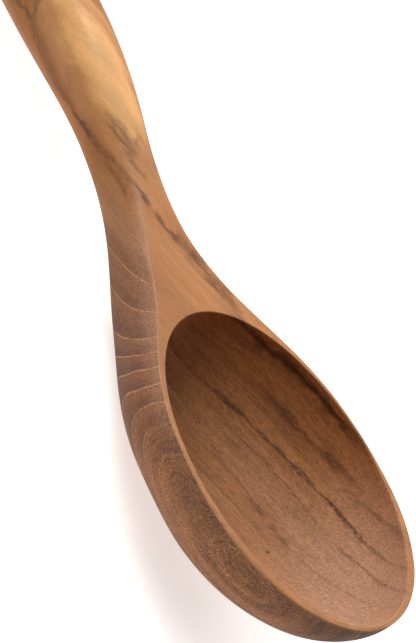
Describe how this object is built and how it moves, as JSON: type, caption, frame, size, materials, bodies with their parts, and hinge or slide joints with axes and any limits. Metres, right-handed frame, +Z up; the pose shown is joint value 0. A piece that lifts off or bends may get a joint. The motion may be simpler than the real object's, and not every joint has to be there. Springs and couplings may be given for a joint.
{
  "type": "wooden ladle",
  "caption": "Carved wooden ladle: oval hollow bowl with a flat deck behind its mouth, slim neck and a swelling round handle, for scooping and serving.",
  "frame": {"origin": "on the table, below the middle of the ladle's box as it lies at rest on the underside of its bowl and the end of its handle", "axes": "+X along the ladle from the handle to the bowl's tip, +Y across the bowl, +Z up, out of the bowl's mouth"},
  "size_m": [0.2986, 0.08, 0.0399],
  "materials": {
    "oiled_wood": "satin"
  },
  "bodies": {
    "root": {"ladle": "oiled_wood"}
  },
  "joints": []
}
